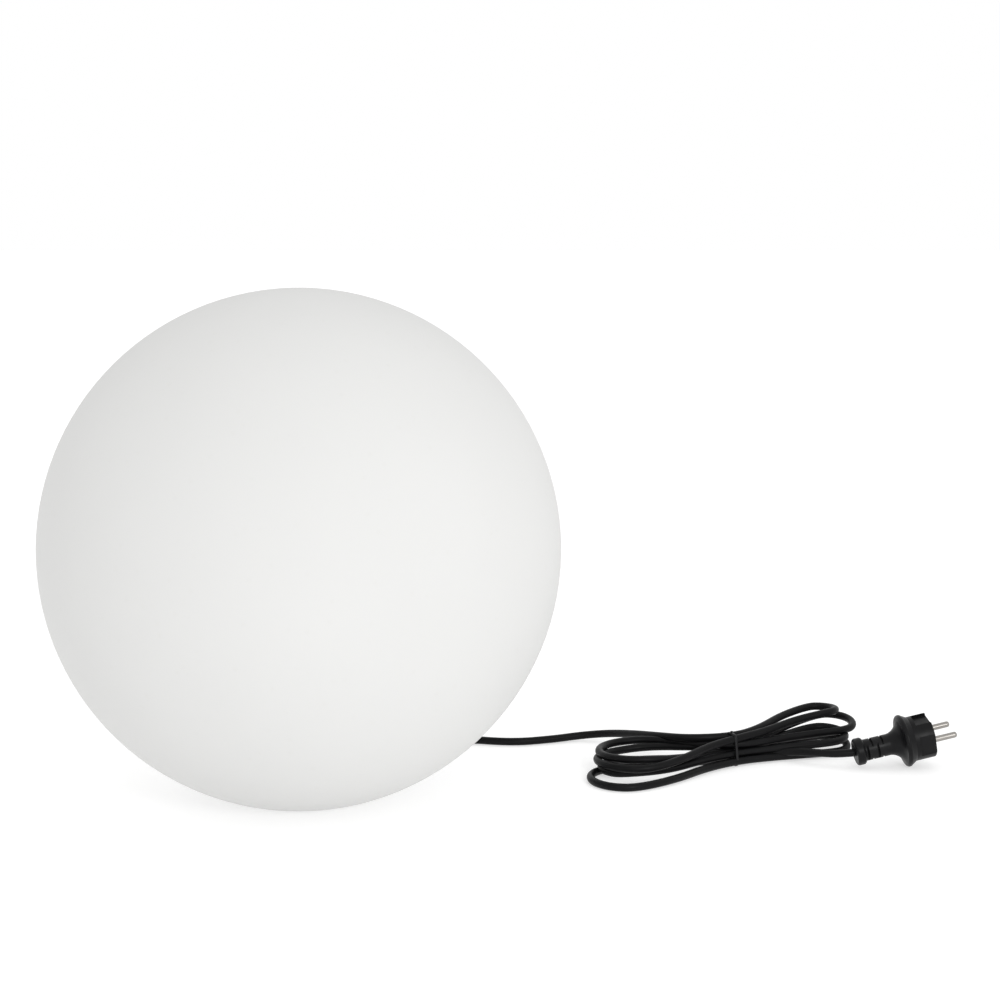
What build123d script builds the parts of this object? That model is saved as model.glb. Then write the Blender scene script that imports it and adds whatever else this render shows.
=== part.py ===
from build123d import *
import os
from math import atan, cos, pi, radians, sin, sqrt, tan

# A ball lamp for the garden and the pool side. A hollow moulded ball twists onto a round
# base, which carries the lampholder, the bulb and the cable gland. The mains cord leaves
# under the ball, lies on the floor, is tied in a hank and ends in a two-pin contour plug.
# Millimetres. The origin is on the floor under the ball's centre, +Z up, +X to the right.

os.makedirs("parts", exist_ok=True)

# ---------------------------------------------------------------- driving dimensions
ball_radius = 200.0
ball_wall = 3.5
rim_radius = 64.0            # edge of the small flat that the ball has at its bottom
rim_height = 1.5             # the rim stays clear of the floor, the feet carry the lamp
ball_centre = rim_height + sqrt(ball_radius**2 - rim_radius**2)

exit_angle = 62.0            # direction in which the cord leaves, about +Z from +X
turn_range = 45.0            # twist that frees the globe
turn_rise = 8.0              # rise of the globe over that twist

base_radius = 46.5
base_wall = 3.0
base_foot = 2.0              # height of the base's lower edge over the floor
deck_low, deck_top = 56.0, 60.0

ring_inner, ring_outer = 50.0, 55.5
ring_low, ring_top = 1.8, 34.0
ring_flange = 63.0
neck_top = 13.0              # top of the ball's rolled-in neck, which carries the ring
channel_top = 9.5            # roof of the cord channel under the ball
channel_margin = 9.0         # degrees of channel past the cord on each side

peg_radius, peg_height, peg_reach = 2.5, 20.0, 53.0
peg_angles = [exit_angle + 60.0 + 120.0 * i for i in range(3)]

cord_radius = 3.2
gland_offset = 26.0
gland_x = -gland_offset * cos(radians(exit_angle))
gland_y = -gland_offset * sin(radians(exit_angle))

holder_low = 84.0            # top of the pedestal, where the lampholder stands
holder_joint = 108.0         # where its cap and outer shell meet
bulb_radius = 30.0

# The plug lies on its flange and the cord's collar, nose up, turned a little away.
plug_yaw, plug_tilt, plug_roll = 6.5, 12.0, 11.0
flange_radius, barrel_radius = 21.2, 18.0
pin_radius, pin_length, pin_pitch = 2.4, 19.0, 19.0
shank_radius, pin_shoulder = 2.0, 0.3   # of the pin inside the plug; its step ahead of the face
plug_front = 22.2            # the face, ahead of the flange's middle
plug_back = -41.2            # the collar's end, behind it


# ---------------------------------------------------------------- helpers
def outline(*points):
    """A closed straight-sided section in the XZ plane, x outward and y up."""
    with BuildSketch(Plane.XZ) as section:
        with BuildLine():
            Polyline(*points, close=True)
        make_face()
    return section.sketch


def tube(inner, outer, low, high):
    """The section of an upright tube, or of a rod if inner is 0."""
    return outline((inner, low), (outer, low), (outer, high), (inner, high))


def radial_plane(angle):
    """The upright plane through +Z at an angle about it, x outward and y up."""
    a = radians(angle)
    return Plane(origin=(0, 0, 0), x_dir=(cos(a), sin(a), 0), z_dir=(sin(a), -cos(a), 0))


def sector(inner, outer, low, high, start, end):
    """A solid ring segment about +Z from one angle to another, in degrees."""
    with BuildPart() as segment:
        with BuildSketch(radial_plane(start)):
            with BuildLine():
                Polyline((inner, low), (outer, low), (outer, high), (inner, high), close=True)
            make_face()
        revolve(axis=Axis.Z, revolution_arc=end - start)
    return segment.part


def polar(radius, angle, height=0.0):
    """A point from its distance from +Z, its angle about it and its height."""
    return (radius * cos(radians(angle)), radius * sin(radians(angle)), height)


# ---------------------------------------------------------------- globe
channel_start = exit_angle - turn_range - channel_margin
channel_end = exit_angle + channel_margin
channel_wall = 3.5           # degrees by which the channel's side walls widen it

# The hollow of the ball: its inner sphere, ending at the neck and over the bottom wall.
inner_radius = ball_radius - ball_wall
hollow_floor = 8.0
hollow_neck = 59.5
hollow_foot = sqrt(inner_radius**2 - (ball_centre - hollow_floor) ** 2)
with BuildPart() as ball_hollow:
    with BuildSketch(Plane.XZ):
        with BuildLine():
            Polyline(
                (0, ball_centre + inner_radius),
                (0, neck_top),
                (hollow_neck, neck_top),
                (hollow_neck, hollow_floor),
                (hollow_foot, hollow_floor),
            )
            ThreePointArc(
                (hollow_foot, hollow_floor),
                (inner_radius, ball_centre),
                (0, ball_centre + inner_radius),
            )
        make_face()
    revolve(axis=Axis.Z)
    add(
        sector(40, 96, 0, neck_top, channel_start - channel_wall, channel_end + channel_wall),
        mode=Mode.SUBTRACT,
    )

with BuildPart() as globe_shell:
    with BuildSketch(Plane.XZ):
        with BuildLine():
            Polyline(
                (0, ball_centre + ball_radius),
                (0, rim_height),
                (rim_radius, rim_height),
            )
            ThreePointArc(
                (rim_radius, rim_height),
                (ball_radius, ball_centre),
                (0, ball_centre + ball_radius),
            )
        make_face()
    revolve(axis=Axis.Z)
    add(
        sector(40, 92, 0, channel_top, channel_start, channel_end),
        mode=Mode.SUBTRACT,
    )
    add(ball_hollow.part, mode=Mode.SUBTRACT)
    revolve(tube(0, ring_outer + 0.3, 0, neck_top + 1), axis=Axis.Z, mode=Mode.SUBTRACT)
globe_shell.part.label = "globe_shell"
export_step(globe_shell.part, "parts/globe_shell.step")

# The neck ring stands on the rolled-in neck. Three grooves inside it climb like a thread
# over the twist and open downward, and two lips hold the seal.
seal_height = 27.0
seal_section = 1.6
seal_radius = (base_radius + ring_inner) / 2
lip_radius = base_radius + 0.8
lip_low, lip_high = seal_height - 5.0, seal_height + 5.0
groove_depth = peg_reach + 0.5
groove_half = peg_radius + 0.2
groove_ease = 0.1            # of the groove's two ends over its climbing part
mouth_length = 20.0
helix_pitch = turn_rise * 360 / turn_range
climb_angle = atan(helix_pitch / (2 * pi * ring_inner))

# The helical stretch starts at the peg and goes back and down, as the peg does in the
# turning ring; a round end at the peg and a slot to the ring's lower edge finish it.
with BuildPart() as groove_climb:
    with BuildLine() as climb:
        Helix(pitch=helix_pitch, height=turn_rise, radius=ring_inner)
    with BuildSketch(
        Plane(origin=(ring_inner, 0, 0), x_dir=(1, 0, 0), z_dir=(0, cos(climb_angle), sin(climb_angle)))
    ):
        Rectangle(2 * (groove_depth - ring_inner), 2 * groove_half)
    sweep(path=climb.line, is_frenet=True)

with BuildPart() as groove_end:
    with BuildSketch(
        Plane(
            origin=polar(base_radius, turn_range, turn_rise),
            x_dir=(-sin(radians(turn_range)), cos(radians(turn_range)), 0),
            z_dir=(cos(radians(turn_range)), sin(radians(turn_range)), 0),
        )
    ):
        Circle(groove_half + groove_ease)
    extrude(amount=groove_depth + groove_ease - base_radius)

with BuildPart() as groove_mouth:
    with BuildSketch(Plane.YZ.offset(base_radius)):
        with Locations((0, (groove_half - mouth_length) / 2)):
            Rectangle(2 * (groove_half + groove_ease), groove_half + mouth_length)
    extrude(amount=groove_depth + groove_ease - base_radius)

with BuildPart() as neck_ring:
    revolve(
        outline(
            (ring_inner, ring_low),
            (ring_outer, ring_low),
            (ring_outer, neck_top + 0.1),
            (ring_flange, neck_top + 0.1),
            (ring_flange, neck_top + 3.1),
            (ring_outer, neck_top + 5.0),
            (ring_outer, ring_top),
            (ring_inner, ring_top),
            (lip_radius, lip_high),
            (lip_radius, seal_height + seal_section + 0.3),
            (ring_inner, seal_height + seal_section + 0.3),
            (ring_inner, seal_height - seal_section - 0.3),
            (lip_radius, seal_height - seal_section - 0.3),
            (lip_radius, lip_low + 1.0),
            (ring_inner, lip_low),
        ),
        axis=Axis.Z,
    )
    for angle in peg_angles:
        with Locations(Location((0, 0, peg_height - turn_rise), (0, 0, angle - turn_range))):
            add(groove_climb.part, mode=Mode.SUBTRACT)
            add(groove_end.part, mode=Mode.SUBTRACT)
            add(groove_mouth.part, mode=Mode.SUBTRACT)
    add(sector(40, 60, 0, channel_top, channel_start, channel_end), mode=Mode.SUBTRACT)
neck_ring.part.label = "neck_ring"
export_step(neck_ring.part, "parts/neck_ring.step")

with BuildPart() as neck_seal:
    with BuildSketch(Plane.XZ):
        with Locations((seal_radius, seal_height)):
            Circle(seal_section)
    revolve(axis=Axis.Z)
neck_seal.part.label = "neck_seal"
export_step(neck_seal.part, "parts/neck_seal.step")

# ---------------------------------------------------------------- base
foot_angles = [exit_angle + 45.0 + 90.0 * i for i in range(4)]
foot_pitch, foot_radius, foot_top = 40.0, 4.5, 3.4
screw_pitch = 34.0
screw_angles = [exit_angle + 120.0 * i for i in range(3)]

with BuildPart() as base_housing:
    revolve(
        outline(
            (0, deck_low),
            (base_radius - base_wall, deck_low),
            (base_radius - base_wall, base_foot + 4.0),
            (33.0, base_foot + 4.0),
            (33.0, base_foot),
            (base_radius, base_foot),
            (base_radius, deck_top - 1.0),
            (base_radius - 1.0, deck_top),
            (0, deck_top),
        ),
        axis=Axis.Z,
    )
    # lock pegs
    for angle in peg_angles:
        with BuildSketch(
            Plane(
                origin=polar(base_radius - base_wall / 2, angle, peg_height),
                x_dir=(0, 0, 1),
                z_dir=polar(1, angle),
            )
        ):
            Circle(peg_radius)
        extrude(amount=peg_reach - base_radius + base_wall / 2)
    # arch for the cord
    with BuildSketch(Plane(origin=polar(28, exit_angle), x_dir=polar(1, exit_angle + 90),
                           z_dir=polar(1, exit_angle))):
        with Locations((0, 1.0)):
            Rectangle(10.4, 6.0)
        with Locations((0, 4.0)):
            Circle(5.2)
    extrude(amount=22, mode=Mode.SUBTRACT)
    # seats of the feet, hole of the gland, holes of the pedestal's screws, wire slots
    with Locations(*[polar(foot_pitch, a, foot_top) for a in foot_angles]):
        Cylinder(foot_radius + 0.1, 4, align=(Align.CENTER, Align.CENTER, Align.MAX),
                 mode=Mode.SUBTRACT)
    with Locations((gland_x, gland_y, deck_low)):
        Cylinder(8.2, 10, mode=Mode.SUBTRACT)
    with Locations(*[polar(screw_pitch, a, deck_low) for a in screw_angles]):
        Cylinder(1.8, 10, mode=Mode.SUBTRACT)
base_housing.part.label = "base_housing"
export_step(base_housing.part, "parts/base_housing.step")

with BuildPart() as rubber_feet:
    with BuildSketch():
        with Locations(*[polar(foot_pitch, a) for a in foot_angles]):
            Circle(foot_radius)
    extrude(amount=foot_top)
    chamfer(rubber_feet.faces().sort_by(Axis.Z)[:4].edges(), 0.6)
rubber_feet.part.label = "rubber_feet"
export_step(rubber_feet.part, "parts/rubber_feet.step")

# The pedestal covers the terminal space and carries the lampholder.
pedestal_radius, pedestal_wall = 42.0, 2.5
with BuildPart() as holder_pedestal:
    revolve(
        outline(
            (pedestal_radius - pedestal_wall, deck_top),
            (pedestal_radius, deck_top),
            (pedestal_radius, holder_low - 8),
            (pedestal_radius - 12, holder_low),
            (8.0, holder_low),
            (8.0, holder_low - 3),
            (pedestal_radius - 13, holder_low - 3),
            (pedestal_radius - pedestal_wall, holder_low - 9.5),
        ),
        axis=Axis.Z,
    )
    with BuildSketch(Plane.XY.offset(deck_top)):
        with Locations(*[polar(screw_pitch, a) for a in screw_angles]):
            Circle(4.0)
    extrude(amount=18)
    with Locations(*[polar(screw_pitch, a, deck_top) for a in screw_angles]):
        Cylinder(1.55, 24, mode=Mode.SUBTRACT)
holder_pedestal.part.label = "holder_pedestal"
export_step(holder_pedestal.part, "parts/holder_pedestal.step")

with BuildPart() as pedestal_screws:
    for angle in screw_angles:
        with Locations(polar(screw_pitch, angle, deck_low)):
            Cylinder(3.2, 2.4, align=(Align.CENTER, Align.CENTER, Align.MAX))
            Cylinder(1.5, 14.5, align=(Align.CENTER, Align.CENTER, Align.MIN))
        with Locations(Location(polar(screw_pitch, angle, deck_low - 2.4), (0, 0, angle))):
            Box(4.2, 0.8, 2.0, mode=Mode.SUBTRACT)
            Box(0.8, 4.2, 2.0, mode=Mode.SUBTRACT)
pedestal_screws.part.label = "pedestal_screws"
export_step(pedestal_screws.part, "parts/pedestal_screws.step")

# ---------------------------------------------------------------- lampholder
cap_outer, cap_inner = 21.5, 18.6
with BuildPart() as holder_cap:
    revolve(
        outline(
            (6.0, holder_low),
            (cap_outer - 3, holder_low),
            (cap_outer, holder_low + 6),
            (cap_outer, holder_joint),
            (cap_inner, holder_joint),
            (cap_inner, holder_low + 6),
            (cap_inner - 2, holder_low + 3),
            (6.0, holder_low + 3),
        ),
        axis=Axis.Z,
    )
holder_cap.part.label = "holder_cap"
export_step(holder_cap.part, "parts/holder_cap.step")

with BuildPart() as holder_shell:
    revolve(
        outline(
            (16.2, holder_joint - 5.8),
            (cap_inner - 0.1, holder_joint - 5.8),
            (cap_inner - 0.1, holder_joint),
            (cap_outer, holder_joint),
            (cap_outer - 0.6, holder_joint + 12),
            (cap_outer + 2.0, holder_joint + 13),
            (cap_outer + 2.0, holder_joint + 15),
            (cap_outer - 1.0, holder_joint + 16),
            (cap_outer - 2.6, holder_joint + 26),
            (16.2, holder_joint + 26),
        ),
        axis=Axis.Z,
    )
holder_shell.part.label = "holder_shell"
export_step(holder_shell.part, "parts/holder_shell.step")

sleeve_inner, sleeve_outer = 13.5, 14.1
insulator_low, insulator_top = holder_joint - 13.5, holder_joint - 6.0
contact_top = insulator_top + 3.0
terminal_x, terminal_high = 10.0, insulator_low + 5.0
with BuildPart() as holder_insulator:
    revolve(
        outline(
            (0, insulator_low),
            (17.8, insulator_low),
            (17.8, insulator_top),
            (sleeve_outer + 0.1, insulator_top),
            (sleeve_outer + 0.1, insulator_top - 2),
            (sleeve_inner - 0.6, insulator_top - 2),
            (sleeve_inner - 0.6, insulator_top),
            (0, insulator_top),
        ),
        axis=Axis.Z,
    )
    with Locations((0, 0, insulator_low)):
        Cylinder(1.7, 30, mode=Mode.SUBTRACT)
    with Locations((terminal_x, 0, insulator_low), (-terminal_x, 0, insulator_low)):
        Box(6.2, 8.2, 10, mode=Mode.SUBTRACT)
holder_insulator.part.label = "holder_insulator"
export_step(holder_insulator.part, "parts/holder_insulator.step")

with BuildPart() as screw_sleeve:
    revolve(
        tube(sleeve_inner, sleeve_outer, insulator_top - 2, holder_joint + 23), axis=Axis.Z
    )
screw_sleeve.part.label = "screw_sleeve"
export_step(screw_sleeve.part, "parts/screw_sleeve.step")

with BuildPart() as centre_contact:
    revolve(
        outline(
            (0, insulator_low + 1),
            (1.6, insulator_low + 1),
            (1.6, contact_top - 1.2),
            (3.6, contact_top - 1.2),
            (3.6, contact_top - 0.4),
            (2.6, contact_top),
            (0, contact_top),
        ),
        axis=Axis.Z,
    )
centre_contact.part.label = "centre_contact"
export_step(centre_contact.part, "parts/centre_contact.step")

terminal_low = insulator_low - 1.0
with BuildPart() as holder_terminals:
    with Locations((terminal_x, 0, terminal_low), (-terminal_x, 0, terminal_low)):
        Box(6, 8, terminal_high - terminal_low, align=(Align.CENTER, Align.CENTER, Align.MIN))
    with Locations((terminal_x, 0, terminal_low), (-terminal_x, 0, terminal_low)):
        Cylinder(1.0, 6, mode=Mode.SUBTRACT)
    for side in (-1, 1):
        with BuildSketch(Plane.XZ.offset(2)):
            with Locations((side * terminal_x, terminal_low + 2.2)):
                Circle(1.05)
        extrude(amount=4, mode=Mode.SUBTRACT)
holder_terminals.part.label = "holder_terminals"
export_step(holder_terminals.part, "parts/holder_terminals.step")

with BuildPart() as terminal_screws:
    for side in (-1, 1):
        with BuildSketch(Plane.XZ.offset(2.5)):
            with Locations((side * terminal_x, terminal_low + 2.2)):
                Circle(1.0)
        extrude(amount=1.4)
terminal_screws.part.label = "terminal_screws"
export_step(terminal_screws.part, "parts/terminal_screws.step")

# ---------------------------------------------------------------- cable gland, under the deck
gland_axis = Axis((gland_x, gland_y, 0), (0, 0, 1))
gland_section = Plane(origin=(gland_x, gland_y, 0), x_dir=(1, 0, 0), z_dir=(0, -1, 0))
hex_flats = 20.0
nut_low = 33.0


def gland_outline(*points):
    """A closed section beside the gland's axis, x outward from it and y up."""
    with BuildSketch(gland_section) as section:
        with BuildLine():
            Polyline(*points, close=True)
        make_face()
    return section.sketch


with BuildPart() as gland_body:
    with BuildSketch(Plane.XY.offset(deck_low - 5)):
        with Locations((gland_x, gland_y)):
            RegularPolygon(hex_flats / 2, 6, major_radius=False)
    extrude(amount=4.5)
    revolve(
        gland_outline((4, deck_low - 15), (8.4, deck_low - 15), (8.4, deck_low - 5),
                      (7.9, deck_low - 5), (7.9, deck_top + 7), (4, deck_top + 7)),
        axis=gland_axis,
    )
    revolve(
        gland_outline((0, deck_low - 20), (6.7, deck_low - 20), (6.7, deck_low - 6),
                      (3.6, deck_low - 4), (3.6, deck_top + 8), (0, deck_top + 8)),
        axis=gland_axis,
        mode=Mode.SUBTRACT,
    )
gland_body.part.label = "gland_body"
export_step(gland_body.part, "parts/gland_body.step")

with BuildPart() as gland_washer:
    revolve(
        gland_outline((8.3, deck_low - 0.5), (9.8, deck_low - 0.5), (9.8, deck_low),
                      (8.3, deck_low)),
        axis=gland_axis,
    )
gland_washer.part.label = "gland_washer"
export_step(gland_washer.part, "parts/gland_washer.step")

with BuildPart() as gland_locknut:
    with BuildSketch(Plane.XY.offset(deck_top)):
        with Locations((gland_x, gland_y)):
            RegularPolygon(hex_flats / 2 + 1, 6, major_radius=False)
            Circle(8.0, mode=Mode.SUBTRACT)
    extrude(amount=4.5)
    chamfer(gland_locknut.faces().sort_by(Axis.Z)[-1].outer_wire().edges(), 0.5)
gland_locknut.part.label = "gland_locknut"
export_step(gland_locknut.part, "parts/gland_locknut.step")

# The rubber seal sits in the gland's mouth and the dome nut presses it round the cord.
seal_low = nut_low + 6.0
with BuildPart() as gland_seal:
    revolve(
        gland_outline((3.5, seal_low), (6.3, seal_low), (6.3, seal_low + 9), (3.5, seal_low + 9)),
        axis=gland_axis,
    )
gland_seal.part.label = "gland_seal"
export_step(gland_seal.part, "parts/gland_seal.step")

with BuildPart() as gland_nut:
    with BuildSketch(Plane.XY.offset(nut_low + 7)):
        with Locations((gland_x, gland_y)):
            RegularPolygon(hex_flats / 2 + 1, 6, major_radius=False)
    extrude(amount=10.5)
    revolve(
        gland_outline((0, nut_low), (6.5, nut_low), (9.0, nut_low + 3), (10.4, nut_low + 7),
                      (0, nut_low + 7)),
        axis=gland_axis,
    )
    revolve(
        gland_outline((0, nut_low - 1), (4.4, nut_low - 1), (4.4, nut_low + 5.6),
                      (6.7, nut_low + 5.6), (6.7, nut_low + 7.5), (8.6, nut_low + 7.5),
                      (8.6, nut_low + 18), (0, nut_low + 18)),
        axis=gland_axis,
        mode=Mode.SUBTRACT,
    )
gland_nut.part.label = "gland_nut"
export_step(gland_nut.part, "parts/gland_nut.step")

# The sheath ends above the gland and its two cores go up to the terminals.
sheath_top = deck_top + 9.0
sheath_join = nut_low + 8.0  # where the free cord takes over, inside the gland
with BuildPart() as cord_sheath_end:
    revolve(
        gland_outline((0, sheath_join), (cord_radius, sheath_join), (cord_radius, sheath_top),
                      (0, sheath_top)),
        axis=gland_axis,
    )
cord_sheath_end.part.label = "cord_sheath_end"
export_step(cord_sheath_end.part, "parts/cord_sheath_end.step")

wire_radius = 1.1


def wire_route(side):
    """The way of one core, from the sheath's end to its terminal at side times terminal_x."""
    start = (gland_x + side * 1.4, gland_y, sheath_top)
    return [
        start,
        (start[0], start[1], sheath_top + 4),
        (side * 4.0, -3.0, holder_low - 7),
        (side * 4.0, 0.0, holder_low + 4.2),
        (side * terminal_x, 0.0, terminal_low - 3.2),
        (side * terminal_x, 0.0, terminal_low),
    ]


live_route, neutral_route = wire_route(1), wire_route(-1)
with BuildPart() as wire_live:
    with BuildLine() as path:
        FilletPolyline(*live_route, radius=1.3)
    with BuildSketch(Plane(origin=path.line @ 0, z_dir=path.line % 0)):
        Circle(wire_radius)
    sweep(path=path.line)
wire_live.part.label = "wire_live"
export_step(wire_live.part, "parts/wire_live.step")

with BuildPart() as wire_neutral:
    with BuildLine() as path:
        FilletPolyline(*neutral_route, radius=1.3)
    with BuildSketch(Plane(origin=path.line @ 0, z_dir=path.line % 0)):
        Circle(wire_radius)
    sweep(path=path.line)
wire_neutral.part.label = "wire_neutral"
export_step(wire_neutral.part, "parts/wire_neutral.step")

# ---------------------------------------------------------------- bulb
cap_radius = 13.1
bulb_low = contact_top + 0.05
cap_low = bulb_low + 3.5
cap_high = cap_low + 23.0
board_height = cap_high + 24.0
dome_centre = board_height + 19.0
dome_wall = 1.5

with BuildPart() as bulb_tip_contact:
    with BuildSketch(Plane.XZ):
        with BuildLine():
            Polyline((0, bulb_low + 1.3), (0, bulb_low), (2.0, bulb_low), (4.4, bulb_low + 1.3),
                     close=True)
        make_face()
    revolve(axis=Axis.Z)
bulb_tip_contact.part.label = "bulb_tip_contact"
export_step(bulb_tip_contact.part, "parts/bulb_tip_contact.step")

with BuildPart() as bulb_cap_insulator:
    revolve(
        outline((0, bulb_low + 1.3), (4.6, bulb_low + 1.3), (10.2, cap_low), (10.2, cap_low + 1),
                (0, cap_low + 1)),
        axis=Axis.Z,
    )
bulb_cap_insulator.part.label = "bulb_cap_insulator"
export_step(bulb_cap_insulator.part, "parts/bulb_cap_insulator.step")

with BuildPart() as bulb_cap:
    revolve(
        outline((10.3, cap_low), (12.2, cap_low + 1.2), (cap_radius, cap_low + 3),
                (cap_radius, cap_high), (cap_radius - 0.5, cap_high),
                (cap_radius - 0.5, cap_low + 3), (11.6, cap_low + 1.8), (10.3, cap_low + 1)),
        axis=Axis.Z,
    )
bulb_cap.part.label = "bulb_cap"
export_step(bulb_cap.part, "parts/bulb_cap.step")

with BuildPart() as bulb_housing:
    revolve(
        outline(
            (cap_radius - 0.6, cap_high - 6),
            (cap_radius - 0.6, cap_high),
            (cap_radius + 1.0, cap_high + 0.2),
            (17.5, cap_high + 8),
            (24.0, cap_high + 20),
            (25.8, board_height + 2.5),
            (24.2, board_height + 2.5),
            (24.2, board_height),
            (22.6, board_height),
            (22.2, cap_high + 20),
            (15.8, cap_high + 8.5),
            (cap_radius - 1.8, cap_high + 0.5),
            (cap_radius - 1.8, cap_high - 6),
        ),
        axis=Axis.Z,
    )
bulb_housing.part.label = "bulb_housing"
export_step(bulb_housing.part, "parts/bulb_housing.step")

# The opal dome stands in the housing's edge and is a ball cut off over the board.
foot_outer = sqrt(bulb_radius**2 - (dome_centre - board_height - 2.6) ** 2)
with BuildPart() as bulb_diffuser:
    with BuildSketch(Plane.XZ):
        with BuildLine():
            Line((0, dome_centre + bulb_radius), (0, dome_centre + bulb_radius - dome_wall))
            ThreePointArc(
                (0, dome_centre + bulb_radius - dome_wall),
                (bulb_radius - dome_wall, dome_centre),
                (foot_outer - dome_wall - 0.6, board_height + 2.6),
            )
            Polyline(
                (foot_outer - dome_wall - 0.6, board_height + 2.6),
                (foot_outer, board_height + 2.6),
            )
            ThreePointArc(
                (foot_outer, board_height + 2.6),
                (bulb_radius, dome_centre),
                (0, dome_centre + bulb_radius),
            )
        make_face()
    revolve(axis=Axis.Z)
bulb_diffuser.part.label = "bulb_diffuser"
export_step(bulb_diffuser.part, "parts/bulb_diffuser.step")

with BuildPart() as bulb_led_board:
    with BuildSketch(Plane.XY.offset(board_height)):
        Circle(24.0)
        with Locations((0, 8)):
            Circle(1.5, mode=Mode.SUBTRACT)
    extrude(amount=1.6)
bulb_led_board.part.label = "bulb_led_board"
export_step(bulb_led_board.part, "parts/bulb_led_board.step")

with BuildPart() as bulb_leds:
    with BuildSketch(Plane.XY.offset(board_height + 1.6)):
        with PolarLocations(16.5, 12):
            Rectangle(2.8, 3.5)
    extrude(amount=0.8)
bulb_leds.part.label = "bulb_leds"
export_step(bulb_leds.part, "parts/bulb_leds.step")

with BuildPart() as bulb_driver:
    with Locations((0, 0, cap_low + 8)):
        Box(16, 1.6, 32, align=(Align.CENTER, Align.CENTER, Align.MIN))
    with BuildSketch(Plane.XY.offset(cap_low + 24)):
        with Locations((-3, 4.4)):
            Circle(3.6)
    extrude(amount=12)
    with Locations((4.5, 3.0, cap_low + 14)):
        Box(5, 4.5, 7)
bulb_driver.part.label = "bulb_driver"
export_step(bulb_driver.part, "parts/bulb_driver.step")

# ---------------------------------------------------------------- plug
# plug_plane: origin in the flange's middle, z towards the pins' tips and x along the pins'
# pitch, towards the near pin. The plug lies on the flange's rim.
yaw, tilt, roll = radians(plug_yaw), radians(plug_tilt), radians(plug_roll)
plug_axis = Vector(cos(tilt) * cos(yaw), cos(tilt) * sin(yaw), sin(tilt))
level_side = Vector(sin(yaw), -cos(yaw), 0)
pitch_side = level_side * cos(roll) - level_side.cross(plug_axis) * sin(roll)
flange_middle = Vector(478.6, 61.0, flange_radius * cos(tilt) + 0.6)
plug_plane = Plane(origin=flange_middle, x_dir=pitch_side, z_dir=plug_axis)
plug_section = Plane(origin=flange_middle, x_dir=plug_axis, z_dir=pitch_side)
plug_turn = Axis(flange_middle, plug_axis)
neck_radius, collar_radius = 8.7, 11.0
core_radius, core_back = 12.9, 12.0
pin_back, crimp_back = 8.0, -1.0

with BuildPart() as plug_body:
    with BuildSketch(plug_section):
        with BuildLine():
            Polyline((plug_front, 0), (plug_back, 0), (plug_back, 9.2))
            ThreePointArc((plug_back, 9.2), (plug_back + 0.6, 10.5), (plug_back + 2, 11))
            Line((plug_back + 2, collar_radius), (plug_back + 5.5, collar_radius))
            ThreePointArc(
                (plug_back + 5.5, collar_radius), (plug_back + 6.9, 10.2), (plug_back + 7.6, 8.7)
            )
            Line((plug_back + 7.6, neck_radius), (-13, neck_radius))
            ThreePointArc((-13, neck_radius), (-5.6, 12.6), (-2.6, 19.4))
            ThreePointArc((-2.6, 19.4), (-0.6, flange_radius), (1.6, 20.4))
            Line((1.6, 20.4), (5.7, barrel_radius))
            Line((5.7, barrel_radius), (plug_front - 1.2, barrel_radius))
            ThreePointArc(
                (plug_front - 1.2, barrel_radius),
                (plug_front - 0.35, barrel_radius - 0.35),
                (plug_front, barrel_radius - 1.2),
            )
            Line((plug_front, barrel_radius - 1.2), (plug_front, 0))
        make_face()
    revolve(axis=plug_turn)
    # four notches along the barrel: deep ones for earth clips, shallow ones for guides
    with Locations(plug_plane):
        with Locations((0, 18.5, 16.2), (0, -18.5, 16.2)):
            Box(17, 10, 14.2, mode=Mode.SUBTRACT)
        with Locations((20.7, 0, 16.2), (-20.7, 0, 16.2)):
            Box(10, 17, 14.2, mode=Mode.SUBTRACT)
        # slots of the strain relief, in turn across and along the pins' line
        with Locations((8.7, 0, -31.7), (-8.7, 0, -31.7), (8.7, 0, -23.1), (-8.7, 0, -23.1)):
            Box(7, 24, 1.8, mode=Mode.SUBTRACT)
        with Locations((0, 8.7, -27.4), (0, -8.7, -27.4), (0, 8.7, -18.8), (0, -8.7, -18.8)):
            Box(24, 7, 1.8, mode=Mode.SUBTRACT)
    # pocket of the core and of the pins' inner ends
    with BuildSketch(plug_plane.offset(core_back)):
        Circle(core_radius + 0.1)
    extrude(amount=12, mode=Mode.SUBTRACT)
    with BuildSketch(plug_plane.offset(crimp_back)):
        with Locations((pin_pitch / 2, 0), (-pin_pitch / 2, 0)):
            Circle(shank_radius + 0.1)
    extrude(amount=14, mode=Mode.SUBTRACT)
plug_body.part.label = "plug_body"
export_step(plug_body.part, "parts/plug_body.step")

with BuildPart() as plug_core:
    with BuildSketch(plug_plane.offset(core_back)):
        Circle(core_radius)
        with Locations((pin_pitch / 2, 0), (-pin_pitch / 2, 0)):
            Circle(shank_radius + 0.05, mode=Mode.SUBTRACT)
    extrude(amount=plug_front - core_back)
plug_core.part.label = "plug_core"
export_step(plug_core.part, "parts/plug_core.step")

with BuildPart() as plug_pins:
    with BuildSketch(plug_plane.offset(pin_back)):
        with Locations((pin_pitch / 2, 0), (-pin_pitch / 2, 0)):
            Circle(shank_radius)
    extrude(amount=plug_front + pin_shoulder - pin_back)
    with BuildSketch(plug_plane.offset(plug_front + pin_shoulder)):
        with Locations((pin_pitch / 2, 0), (-pin_pitch / 2, 0)):
            Circle(pin_radius)
    extrude(amount=pin_length - pin_shoulder)
    fillet(plug_pins.faces().sort_by(plug_turn)[-2:].edges(), 1.9)
plug_pins.part.label = "plug_pins"
export_step(plug_pins.part, "parts/plug_pins.step")

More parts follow.
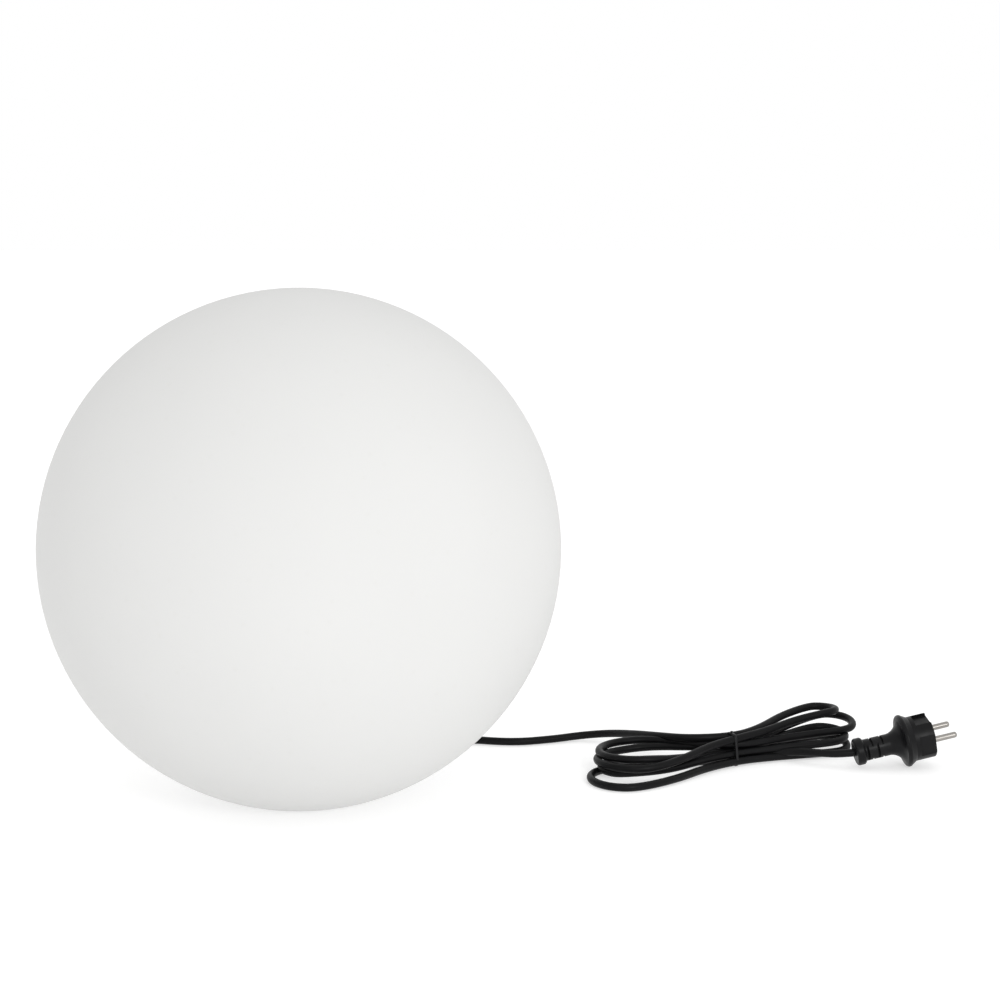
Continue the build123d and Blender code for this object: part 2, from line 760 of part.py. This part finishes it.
with BuildPart() as plug_crimps:
    with BuildSketch(plug_plane.offset(crimp_back + 0.5)):
        with Locations((pin_pitch / 2, 0), (-pin_pitch / 2, 0)):
            Circle(1.9)
    extrude(amount=pin_back - crimp_back - 0.5)
plug_crimps.part.label = "plug_crimps"
export_step(plug_crimps.part, "parts/plug_crimps.step")


# ---------------------------------------------------------------- mains cord
def smooth_path(points):
    """Straight runs between points, joined by arcs as large as the runs allow; prints the radii."""
    runs = [Vector(*q) - Vector(*p) for p, q in zip(points, points[1:])]
    radii = [
        0.45 * min(a.length, b.length) / tan(radians(a.get_angle(b)) / 2)
        for a, b in zip(runs, runs[1:])
    ]
    print("   runs", [round(run.length, 1) for run in runs])
    print("   radii", [round(radius, 1) for radius in radii])
    return FilletPolyline(*points, radius=radii)


def cord_tube(name, points):
    """A round cord along the points, with its volume compared with section times length."""
    print(name)
    with BuildPart() as cord:
        with BuildLine():
            route = smooth_path(points)
        with BuildSketch(Plane(origin=route @ 0, z_dir=route % 0)):
            Circle(cord_radius)
        sweep()
    ratio = cord.part.volume / (pi * cord_radius**2 * route.length)
    print("   length %.0f mm, volume ratio %.4f" % (route.length, ratio))
    return cord.part


# Down out of the gland, out through the ball's channel and over the floor in loose curves,
# then up over the spread loops of the hank to its tie.
lead_route = [
    (gland_x, gland_y, sheath_join), (gland_x, gland_y, 27), (-9.5, -18, 15.3), (-4.6, -8.6, 7.9),
    (2.4, 4.4, 5.3), (14, 26, 3.9), (29.5, 54.5, 3.5), (50, 88, 3.4), (82, 118, 3.4),
    (122, 130, 3.4), (163, 119, 3.4), (197, 129, 3.4), (222, 137.5, 4.5), (244, 131, 8),
    (262, 111.5, 13), (280, 88, 18), (305, 66, 21.8),
]
# From the hank's tie over its lowest loop to the collar of the plug.
tail_route = [
    (356, 74.5, 4.3), (370, 78, 5.6), (385, 76, 7.6), (399, 69.5, 9.4), (413, 61.5, 10.9),
    (425.5, 56.4, 11.6), tuple(flange_middle + plug_axis * plug_back),
]

mains_cord = cord_tube("mains_cord", lead_route)
mains_cord.label = "mains_cord"
export_step(mains_cord, "parts/mains_cord.step")

cord_tail = cord_tube("cord_tail", tail_route)
cord_tail.label = "cord_tail"
export_step(cord_tail, "parts/cord_tail.step")

# The hank lies along a line on the floor: narrow at its tie, its loops fanned out flat at one
# end and piled up at the other. Each section: place along the hank, then the least and the
# most reach to the side and in height.
hank_middle, hank_yaw = (342.0, 73.0, 0.0), 25.0
hank_sections = [
    (-135, -22, -2, 1.5, 5.5), (-130, -33, 8, 0.2, 6.8), (-112, -42, 33, 0.2, 17),
    (-95, -42, 46, 0.2, 21.3), (-75, -38, 49.5, 0.2, 21.3), (-55, -31, 43, 0.2, 21),
    (-35, -23, 23, 0.5, 24), (-18, -18.5, 10.5, 0.9, 25.2), (-4, -14.9, 5.7, 1.2, 25.2),
    (4, -14.9, 5.7, 1.2, 25.2), (20, -16.5, 8.5, 0.8, 27), (40, -19.5, 18.5, 0.6, 29.5),
    (60, -24.2, 28.5, 0.4, 33), (80, -27.3, 32, 0.4, 36.2), (96, -26, 31, 0.4, 36.4),
    (107, -19, 27, 3, 30), (119, -6, 17, 14, 26),
]


def hank_plane(along):
    """The upright plane across the hank at a distance from its tie, x to the side and y up."""
    c, s = cos(radians(hank_yaw)), sin(radians(hank_yaw))
    origin = (hank_middle[0] + c * along, hank_middle[1] + s * along, 0)
    return Plane(origin=origin, x_dir=(-s, c, 0), z_dir=(c, s, 0))


with BuildPart() as cord_hank:
    for along, side_low, side_high, low, high in hank_sections:
        with BuildSketch(hank_plane(along)):
            with Locations(((side_low + side_high) / 2, (low + high) / 2)):
                wide, tall = side_high - side_low, high - low
                RectangleRounded(wide, tall, 0.45 * min(wide, tall))
    loft(ruled=True)
cord_hank.part.label = "cord_hank"
export_step(cord_hank.part, "parts/cord_hank.step")

# A narrow band round the hank, with the twisted end of the tie on top.
tie_width, tie_thickness = 2.0, 0.8
tie_low, tie_high, tie_left, tie_right = 1.1, 25.3, -15.0, 5.8
tie_corner = 9.4
with BuildPart() as hank_tie:
    with BuildSketch(hank_plane(-tie_width / 2)):
        with Locations(((tie_left + tie_right) / 2, (tie_low + tie_high) / 2)):
            wide, tall = tie_right - tie_left, tie_high - tie_low
            RectangleRounded(
                wide + 2 * tie_thickness, tall + 2 * tie_thickness, tie_corner + tie_thickness
            )
            RectangleRounded(wide, tall, tie_corner, mode=Mode.SUBTRACT)
    extrude(amount=tie_width)
    with BuildSketch(hank_plane(-tie_width / 2)):
        with Locations(((tie_left + tie_right) / 2 + 1, tie_high + 1.3)):
            RectangleRounded(3.2, 2.2, 0.9)
    extrude(amount=tie_width)
hank_tie.part.label = "hank_tie"
export_step(hank_tie.part, "parts/hank_tie.step")
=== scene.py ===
import bpy
import bmesh
from math import cos, pi, radians, sin, tan
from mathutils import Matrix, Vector


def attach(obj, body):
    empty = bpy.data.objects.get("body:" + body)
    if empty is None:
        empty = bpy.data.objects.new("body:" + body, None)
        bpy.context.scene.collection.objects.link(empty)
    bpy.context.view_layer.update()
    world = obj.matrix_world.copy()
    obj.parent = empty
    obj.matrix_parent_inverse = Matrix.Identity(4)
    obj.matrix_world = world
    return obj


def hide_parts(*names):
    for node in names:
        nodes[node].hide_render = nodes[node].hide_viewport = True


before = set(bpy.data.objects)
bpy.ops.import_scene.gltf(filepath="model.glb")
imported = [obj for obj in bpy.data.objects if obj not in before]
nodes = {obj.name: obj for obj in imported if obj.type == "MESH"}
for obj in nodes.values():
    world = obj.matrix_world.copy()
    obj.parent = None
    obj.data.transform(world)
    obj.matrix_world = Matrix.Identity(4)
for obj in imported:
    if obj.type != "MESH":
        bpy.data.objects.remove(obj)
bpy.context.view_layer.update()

MM = 0.001
CORD_RADIUS = 3.2  # mm

# ------------------------------------------------------------------ materials
# A Mix node's colour sockets, which share their names with its sockets of other types.
MIX_A, MIX_B, MIX_RESULT = 6, 7, 2
# Most of a noise's values lie between these two.
NOISE_LOW, NOISE_HIGH = 0.3, 0.7
# A speck fades out between these two distances from its middle, in shares of its cell.
SPECK_EDGE, SPECK_CORE = 0.18, 0.06
# Wear starts at the first pointiness and is whole at the second; it is patchy at this scale.
WEAR_STARTS, WEAR_WHOLE, WEAR_SCALE = 0.52, 0.62, 220


def finish(name, colour, rough=0.5, metallic=0.0, tone=0.08, tone_scale=30.0,
           rough_var=0.08, rough_scale=60.0, grain=0.1, grain_scale=900.0, grain_depth=0.0002,
           stretch=None, specks=0.0, speck_scale=400.0, speck_colour=(0.5, 0.5, 0.5),
           wear=0.0, wear_colour=(0.5, 0.5, 0.5), **sockets):
    """A finish with uneven tone, uneven gloss and a fine grain, all in the object's own space.

    stretch draws the grain out along an axis, specks adds small spots and wear rubs the
    edges lighter. Other arguments are values of the shader's own sockets."""
    material = bpy.data.materials.new(name)
    material.use_nodes = True
    tree = material.node_tree
    shader = tree.nodes["Principled BSDF"]
    new, link = tree.nodes.new, tree.links.new
    shader.inputs["Metallic"].default_value = metallic
    for key, value in sockets.items():
        shader.inputs[key.replace("_", " ")].default_value = value
    place = new("ShaderNodeTexCoord")
    source = place.outputs["Object"]
    if stretch is not None:
        mapping = new("ShaderNodeMapping")
        mapping.inputs["Scale"].default_value = stretch
        link(source, mapping.inputs["Vector"])
        fine_source = mapping.outputs["Vector"]
    else:
        fine_source = source

    def noise(scale, detail, vector, roughness=0.5):
        texture = new("ShaderNodeTexNoise")
        texture.inputs["Scale"].default_value = scale
        texture.inputs["Detail"].default_value = detail
        texture.inputs["Roughness"].default_value = roughness
        link(vector, texture.inputs["Vector"])
        return texture.outputs["Fac"]

    def ramp(value, start, end, low, high):
        """low where value is start, high where it is end, and even in between."""
        node = new("ShaderNodeMapRange")
        node.inputs["From Min"].default_value = start
        node.inputs["From Max"].default_value = end
        node.inputs["To Min"].default_value = low
        node.inputs["To Max"].default_value = high
        link(value, node.inputs["Value"])
        return node.outputs["Result"]

    def mix(share, a, b):
        """Colour a where share is 0 and colour b where it is 1."""
        node = new("ShaderNodeMix")
        node.data_type = "RGBA"
        link(share, node.inputs["Factor"])
        for socket, value in ((node.inputs[MIX_A], a), (node.inputs[MIX_B], b)):
            if isinstance(value, tuple):
                socket.default_value = (*value, 1)
            else:
                link(value, socket)
        return node.outputs[MIX_RESULT]

    dark = tuple(c * (1 - tone) for c in colour)
    light = tuple(min(1.0, c * (1 + tone)) for c in colour)
    base = mix(ramp(noise(tone_scale, 4, source), NOISE_LOW, NOISE_HIGH, 0, 1), dark, light)
    if specks:
        speck = new("ShaderNodeTexVoronoi")
        speck.inputs["Scale"].default_value = speck_scale
        link(source, speck.inputs["Vector"])
        spot = ramp(speck.outputs["Distance"], SPECK_EDGE, SPECK_CORE, 0, specks)
        base = mix(spot, base, speck_colour)
    if wear:
        edge = new("ShaderNodeNewGeometry")
        worn = new("ShaderNodeMath")
        worn.operation = "MULTIPLY"
        link(ramp(edge.outputs["Pointiness"], WEAR_STARTS, WEAR_WHOLE, 0, wear), worn.inputs[0])
        link(ramp(noise(WEAR_SCALE, 3, source), NOISE_LOW, NOISE_HIGH, 0.2, 1), worn.inputs[1])
        base = mix(worn.outputs["Value"], base, wear_colour)
    link(base, shader.inputs["Base Color"])
    gloss = noise(rough_scale, 5, fine_source)
    link(ramp(gloss, NOISE_LOW, NOISE_HIGH, rough - rough_var, rough + rough_var),
         shader.inputs["Roughness"])
    bump = new("ShaderNodeBump")
    bump.inputs["Strength"].default_value = grain
    bump.inputs["Distance"].default_value = grain_depth
    link(noise(grain_scale, 3, fine_source, 0.6), bump.inputs["Height"])
    link(bump.outputs["Normal"], shader.inputs["Normal"])
    return material


opal = finish("opal_polyethylene", (0.675, 0.675, 0.667), rough=0.55, tone=0.008, tone_scale=9,
              rough_var=0.05, rough_scale=22, grain=0.16, grain_scale=520, grain_depth=0.0004,
              specks=0.10, speck_scale=70, speck_colour=(0.60, 0.59, 0.56),
              Specular_IOR_Level=0.02)
ring_plastic = finish("ring_nylon", (0.74, 0.74, 0.72), rough=0.45, tone=0.03, grain=0.2)
black_plastic = finish("black_moulded_plastic", (0.022, 0.022, 0.024), rough=0.48, tone=0.15,
                       grain=0.35, grain_scale=1400, wear=0.25, wear_colour=(0.07, 0.07, 0.07),
                       Specular_IOR_Level=0.25)
holder_plastic = finish("phenolic_black", (0.016, 0.016, 0.017), rough=0.3, tone=0.12,
                        rough_var=0.06, grain=0.12, grain_scale=800, Specular_IOR_Level=0.3)
cord_rubber = finish("cord_rubber", (0.003, 0.003, 0.0034), rough=0.44, tone=0.22,
                     tone_scale=70, rough_var=0.07, rough_scale=120, grain=0.28,
                     grain_scale=1500, grain_depth=0.00015, specks=0.25, speck_scale=260,
                     speck_colour=(0.012, 0.012, 0.011), Specular_IOR_Level=0.13)
plug_rubber = finish("plug_rubber", (0.0035, 0.0035, 0.004), rough=0.38, tone=0.18,
                     tone_scale=60, rough_var=0.07, rough_scale=90, grain=0.25,
                     grain_scale=1700, grain_depth=0.00012, wear=0.35,
                     wear_colour=(0.02, 0.02, 0.02), Specular_IOR_Level=0.16)
soft_rubber = finish("seal_rubber", (0.014, 0.014, 0.014), rough=0.6, tone=0.15, grain=0.2)
red_rubber = finish("washer_silicone", (0.42, 0.07, 0.04), rough=0.55, tone=0.08, grain=0.15)
ceramic = finish("glazed_ceramic", (0.83, 0.81, 0.76), rough=0.16, tone=0.03, rough_var=0.04,
                 grain=0.06, grain_scale=300, Coat_Weight=0.4, Coat_Roughness=0.08)
brass = finish("brass", (0.78, 0.57, 0.26), rough=0.3, metallic=1.0, tone=0.08, rough_var=0.08,
               grain=0.12, stretch=(1, 1, 14), grain_scale=500)
steel = finish("zinc_steel", (0.58, 0.58, 0.6), rough=0.32, metallic=1.0, tone=0.08,
               rough_var=0.1, grain=0.12, grain_scale=1200)
aluminium = finish("bulb_cap_aluminium", (0.78, 0.78, 0.79), rough=0.34, metallic=1.0,
                   tone=0.05, rough_var=0.08, grain=0.1, stretch=(1, 1, 20), grain_scale=400)
nickel = finish("nickel_pin", (0.33, 0.315, 0.295), rough=0.38, metallic=1.0, tone=0.05,
                tone_scale=60, rough_var=0.05, rough_scale=60, grain=0.02,
                grain_scale=120, grain_depth=0.00002)
live_pvc = finish("live_insulation", (0.22, 0.09, 0.035), rough=0.35, tone=0.08, grain=0.1)
neutral_pvc = finish("neutral_insulation", (0.03, 0.12, 0.42), rough=0.35, tone=0.08, grain=0.1)
bulb_white = finish("bulb_housing_plastic", (0.82, 0.82, 0.81), rough=0.4, tone=0.02,
                    grain=0.14, grain_scale=1000)
bulb_opal = finish("bulb_diffuser_plastic", (0.88, 0.88, 0.86), rough=0.42, tone=0.012,
                   grain=0.08, grain_scale=600)
board_white = finish("board_lacquer", (0.78, 0.79, 0.76), rough=0.35, tone=0.03, specks=0.5,
                     speck_scale=300, speck_colour=(0.55, 0.56, 0.52))
led_phosphor = finish("led_phosphor", (0.86, 0.62, 0.07), rough=0.3, tone=0.06, grain=0.1)
board_green = finish("driver_board_green", (0.02, 0.17, 0.06), rough=0.35, tone=0.12, grain=0.2)
tie_plastic = finish("tie_vinyl", (0.004, 0.004, 0.0045), rough=0.34, tone=0.2, rough_var=0.06,
                     grain=0.2, grain_scale=1600, Specular_IOR_Level=0.25)

for material, names in (
    (opal, "globe_shell"), (ring_plastic, "neck_ring"),
    (black_plastic, "base_housing holder_pedestal gland_body gland_locknut gland_nut plug_core"),
    (holder_plastic, "holder_cap holder_shell"),
    (soft_rubber, "neck_seal rubber_feet gland_seal"), (red_rubber, "gland_washer"),
    (ceramic, "holder_insulator bulb_cap_insulator"),
    (brass, "screw_sleeve centre_contact holder_terminals bulb_tip_contact plug_crimps"),
    (steel, "pedestal_screws terminal_screws"), (aluminium, "bulb_cap"),
    (nickel, "plug_pins"), (live_pvc, "wire_live"), (neutral_pvc, "wire_neutral"),
    (bulb_white, "bulb_housing"), (bulb_opal, "bulb_diffuser"), (board_white, "bulb_led_board"),
    (led_phosphor, "bulb_leds"), (board_green, "bulb_driver"), (plug_rubber, "plug_body"),
    (cord_rubber, "cord_sheath_end mains_cord cord_hank cord_tail"), (tie_plastic, "hank_tie"),
):
    for name in names.split():
        nodes[name].data.materials.clear()
        nodes[name].data.materials.append(material)

# ------------------------------------------------------------------ cord
# All places are in millimetres. The free cord comes out of the gland and runs under the
# ball and over the floor to the hank.
lead = [
    (-12.2065, -22.9568, 41), (-12.2065, -22.9568, 27), (-9.5, -18, 15.3), (-4.6, -8.6, 7.9),
    (2.4, 4.4, 5.3), (14, 26, 3.9), (29.5, 54.5, 3.5), (50, 88, 3.4), (82, 118, 3.4),
    (122, 130, 3.4), (163, 119, 3.4), (197, 129, 3.4), (222, 137.5, 4.5), (244, 131, 8),
    (262, 111.5, 13), (280, 88, 18), (305, 66, 21.8),
]
# From the hank into the plug.
tail = [
    (356, 74.5, 4.3), (370, 78, 5.6), (385, 76, 7.6), (399, 69.5, 9.4), (413, 61.5, 10.9),
    (425.5, 56.4, 11.6), (438.559, 56.438, 12.771),
]
# The hank's own axes: along it from its middle, to its side and up.
hank_middle = Vector((342, 73, 0))
hank_yaw = radians(25)
hank_along = Vector((cos(hank_yaw), sin(hank_yaw), 0))
hank_side = Vector((-sin(hank_yaw), cos(hank_yaw), 0))
# Where the nine passes cross the hank's middle: to the side and up.
passes = [(-1.3, 21.9), (-7.9, 22.1), (-1.3, 14.9), (-7.9, 16.7), (-1.3, 9.9), (-7.9, 9.9),
          (2.0, 4.3), (-11.2, 4.3), (-4.6, 4.3)]
# The loops at each end: how far it reaches, the fold's place to the side and up where the
# cord goes out and where it comes back, and by how many degrees each of the runs spreads.
right_loops = [(102, (27, 30), (-4, 33), (12, 8)), (116, (26, 22.5), (-11, 18), (14, 4)),
               (103, (17, 15.3), (-20, 12), (10, 8)), (104, (14, 8), (-21, 3.5), (6, 8))]
left_loops = [(116, (-26, 12.3), (40, 9), (5, 12)), (111, (46, 14.6), (-19, 17.8), (12, 5)),
              (115, (-12, 6.2), (23, 6.5), (-16, 7)), (132, (-39, 3.4), (16, 3.4), (10, 6))]


# A run's two points lie at these shares of its length. The near one has these shares of the
# way from the tied place to the fold's, to the side and up, and the far one this share up.
NEAR, FAR = 0.31, 0.66
NEAR_SIDE, NEAR_UP, FAR_UP = 0.28, 0.2, 0.62
# The fold has five points, at these shares of the height from going out to coming back.
FOLD_UP = (0.0, 0.08, 0.3, 0.7, 1.0)


def between(a, b, share):
    return a + (b - a) * share


def loop(way, reach, out, back, spreads, start, end):
    """One loop of the hank: out along one run, round the fold and back along the other."""
    radius = abs(out[0] - back[0]) / 2
    middle = (out[0] + back[0]) / 2
    turn = 1 if out[0] > back[0] else -1
    step = (180 + sum(spreads)) / len(FOLD_UP)
    corner = radius / cos(radians(step / 2))
    fold = []
    for k, share in enumerate(FOLD_UP):
        phi = radians(90 + spreads[0] - step * (k + 0.5))
        fold.append((reach - radius + corner * cos(phi), middle + turn * corner * sin(phi),
                     between(out[1], back[1], share)))
    runs = []
    for sign, (along, beside, high), spread, tied in (
        (turn, fold[0], spreads[0], start), (-turn, fold[-1], spreads[1], end)
    ):
        wide = beside - sign * tan(radians(spread)) * (1 - FAR) * along
        near_side, near_up = between(tied[0], wide, NEAR_SIDE), between(tied[1], high, NEAR_UP)
        runs.append([(NEAR * along, near_side, near_up),
                     (FAR * along, wide, between(tied[1], high, FAR_UP))])
    points = runs[0] + fold + runs[1][::-1]
    return [(way * along, beside, high) for along, beside, high in points]


def in_hank(middle, along, beside, high):
    """The place in metres of a point in the hank's own axes."""
    return (middle + hank_along * along + hank_side * beside + Vector((0, 0, high))) * MM


hank = []
for i, (right, left) in enumerate(zip(right_loops, left_loops)):
    first, second, third = passes[2 * i:2 * i + 3]
    hank += [(0, *first), *loop(1, *right, first, second)]
    hank += [(0, *second), *loop(-1, *left, second, third)]
hank.append((0, *passes[-1]))
route = [Vector(place) * MM for place in lead]
route += [in_hank(hank_middle, *place) for place in hank]
route += [Vector(place) * MM for place in tail]

curve = bpy.data.curves.new("mains_lead", "CURVE")
curve.dimensions = "3D"
line = curve.splines.new("NURBS")
line.points.add(len(route) - 1)
for point, place in zip(line.points, route):
    point.co = (*place, 1)
line.order_u = 3
line.use_endpoint_u = True
line.resolution_u = 8
curve.bevel_depth = CORD_RADIUS * MM
curve.bevel_resolution = 6
curve.use_fill_caps = True
flex = bpy.data.objects.new("mains_lead", curve)
bpy.context.collection.objects.link(flex)
curve.materials.append(cord_rubber)
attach(flex, "base")
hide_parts("mains_cord", "cord_hank", "cord_tail")

# ------------------------------------------------------------------ tie
# A band drawn round the passes, its two ends twisted on top.
tie_middle = hank_middle - 4 * hank_along
OUTLINE_POINTS = 96
# the band's section: along the hank, and out from the cord
band = [(-1.15, 0.05), (-1.15, 0.55), (-0.75, 0.95), (0.75, 0.95), (1.15, 0.55), (1.15, 0.05)]
# The ends: how far each is from the twist's own line, along and across, how far the twist
# turns, in radians, where it starts and how far it leans and climbs.
TWIST_ALONG, TWIST_ACROSS, TWIST_TURN = 0.5, 0.9, 7
TWIST_SIDE, TWIST_LEAN = -3.4, -1.2
TWIST_FOOT, TWIST_CLIMB = 26.0, 1.6
TWIST_CLOSES = 0.3  # share of the distance along that it loses by its tip
END_RADIUS, END_RIM, END_STEPS, END_SIDES = 0.75, 0.45, 12, 10


def outline_round(places, grow):
    """The outline round discs at these places, a cord's radius wide and grow more."""
    far_out = CORD_RADIUS + grow
    outline = []
    for k in range(OUTLINE_POINTS):
        angle = 2 * pi * k / OUTLINE_POINTS
        x, y = cos(angle), sin(angle)
        far = max(places, key=lambda place: place[0] * x + place[1] * y)
        outline.append((far[0] + far_out * x, far[1] + far_out * y))
    return outline


bm = bmesh.new()
rings = []
for along, grow in band:
    rings.append([bm.verts.new(in_hank(tie_middle, along, beside, high))
                  for beside, high in outline_round(passes, grow)])
for a, b in zip(rings, rings[1:] + rings[:1]):
    for k in range(OUTLINE_POINTS):
        bm.faces.new((a[k], a[k - 1], b[k - 1], b[k]))
for phase in (0, pi):
    last = None
    for k in range(END_STEPS + 1):
        t = k / END_STEPS
        angle = phase + TWIST_TURN * t
        along = TWIST_ALONG * cos(angle) * (1 - TWIST_CLOSES * t)
        beside = TWIST_SIDE + TWIST_ACROSS * sin(angle) + TWIST_LEAN * t
        radius = END_RADIUS if 0 < k < END_STEPS else END_RIM
        ring = []
        for q in range(END_SIDES):
            round_it = 2 * pi * q / END_SIDES
            ring.append(bm.verts.new(in_hank(
                tie_middle, along + radius * cos(round_it), beside + radius * sin(round_it),
                TWIST_FOOT + TWIST_CLIMB * t)))
        if last:
            for q in range(END_SIDES):
                bm.faces.new((last[q - 1], last[q], ring[q], ring[q - 1]))
        else:
            bm.faces.new(ring[::-1])
        last = ring
    bm.faces.new(last)
bmesh.ops.recalc_face_normals(bm, faces=bm.faces)
mesh = bpy.data.meshes.new("tie_band")
bm.to_mesh(mesh)
bm.free()
for face in mesh.polygons:
    face.use_smooth = True
tie = bpy.data.objects.new("tie_band", mesh)
bpy.context.collection.objects.link(tie)
mesh.materials.append(tie_plastic)
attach(tie, "base")
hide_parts("hank_tie")

# ------------------------------------------------------------------ stage
floor_mesh = bpy.data.meshes.new("floor")
half = 6
corners = [(-half, -half, 0), (half, -half, 0), (half, half, 0), (-half, half, 0)]
floor_mesh.from_pydata(corners, [], [(0, 1, 2, 3)])
floor = bpy.data.objects.new("floor", floor_mesh)
bpy.context.collection.objects.link(floor)
floor_mesh.materials.append(finish("floor_paper", (0.55, 0.55, 0.55), rough=0.9, tone=0.004,
                                   tone_scale=3, grain=0.02, grain_scale=200,
                                   Specular_IOR_Level=0.1,
                                   Emission_Color=(0.98, 0.98, 0.98, 1),
                                   Emission_Strength=0.55))

world = bpy.data.worlds.new("studio")
world.use_nodes = True
background = world.node_tree.nodes["Background"]
background.inputs["Color"].default_value = (1, 1, 1, 1)
background.inputs["Strength"].default_value = 1.0
bpy.context.scene.world = world


def area_light(name, place, target, size, watts):
    """A square soft light aimed at a point."""
    light = bpy.data.lights.new(name, "AREA")
    light.shape = "SQUARE"
    light.size = size
    light.energy = watts
    lamp = bpy.data.objects.new(name, light)
    lamp.location = place
    lamp.rotation_euler = (Vector(target) - Vector(place)).to_track_quat("-Z", "Y").to_euler()
    bpy.context.collection.objects.link(lamp)


area_light("key", (1.0, -1.9, 0.9), (0.05, 0, 0.15), 0.4, 11)

bpy.context.scene.view_settings.view_transform = "Standard"
camera_data = bpy.data.cameras.new("camera")
camera_data.lens = 85
camera_data.sensor_width = 36
camera_data.clip_start = 0.05
camera_data.clip_end = 50
camera = bpy.data.objects.new("camera", camera_data)
camera.location = (0.153, -1.780, 0.543)
camera.rotation_euler = (radians(80), 0, 0)
bpy.context.collection.objects.link(camera)
bpy.context.scene.camera = camera
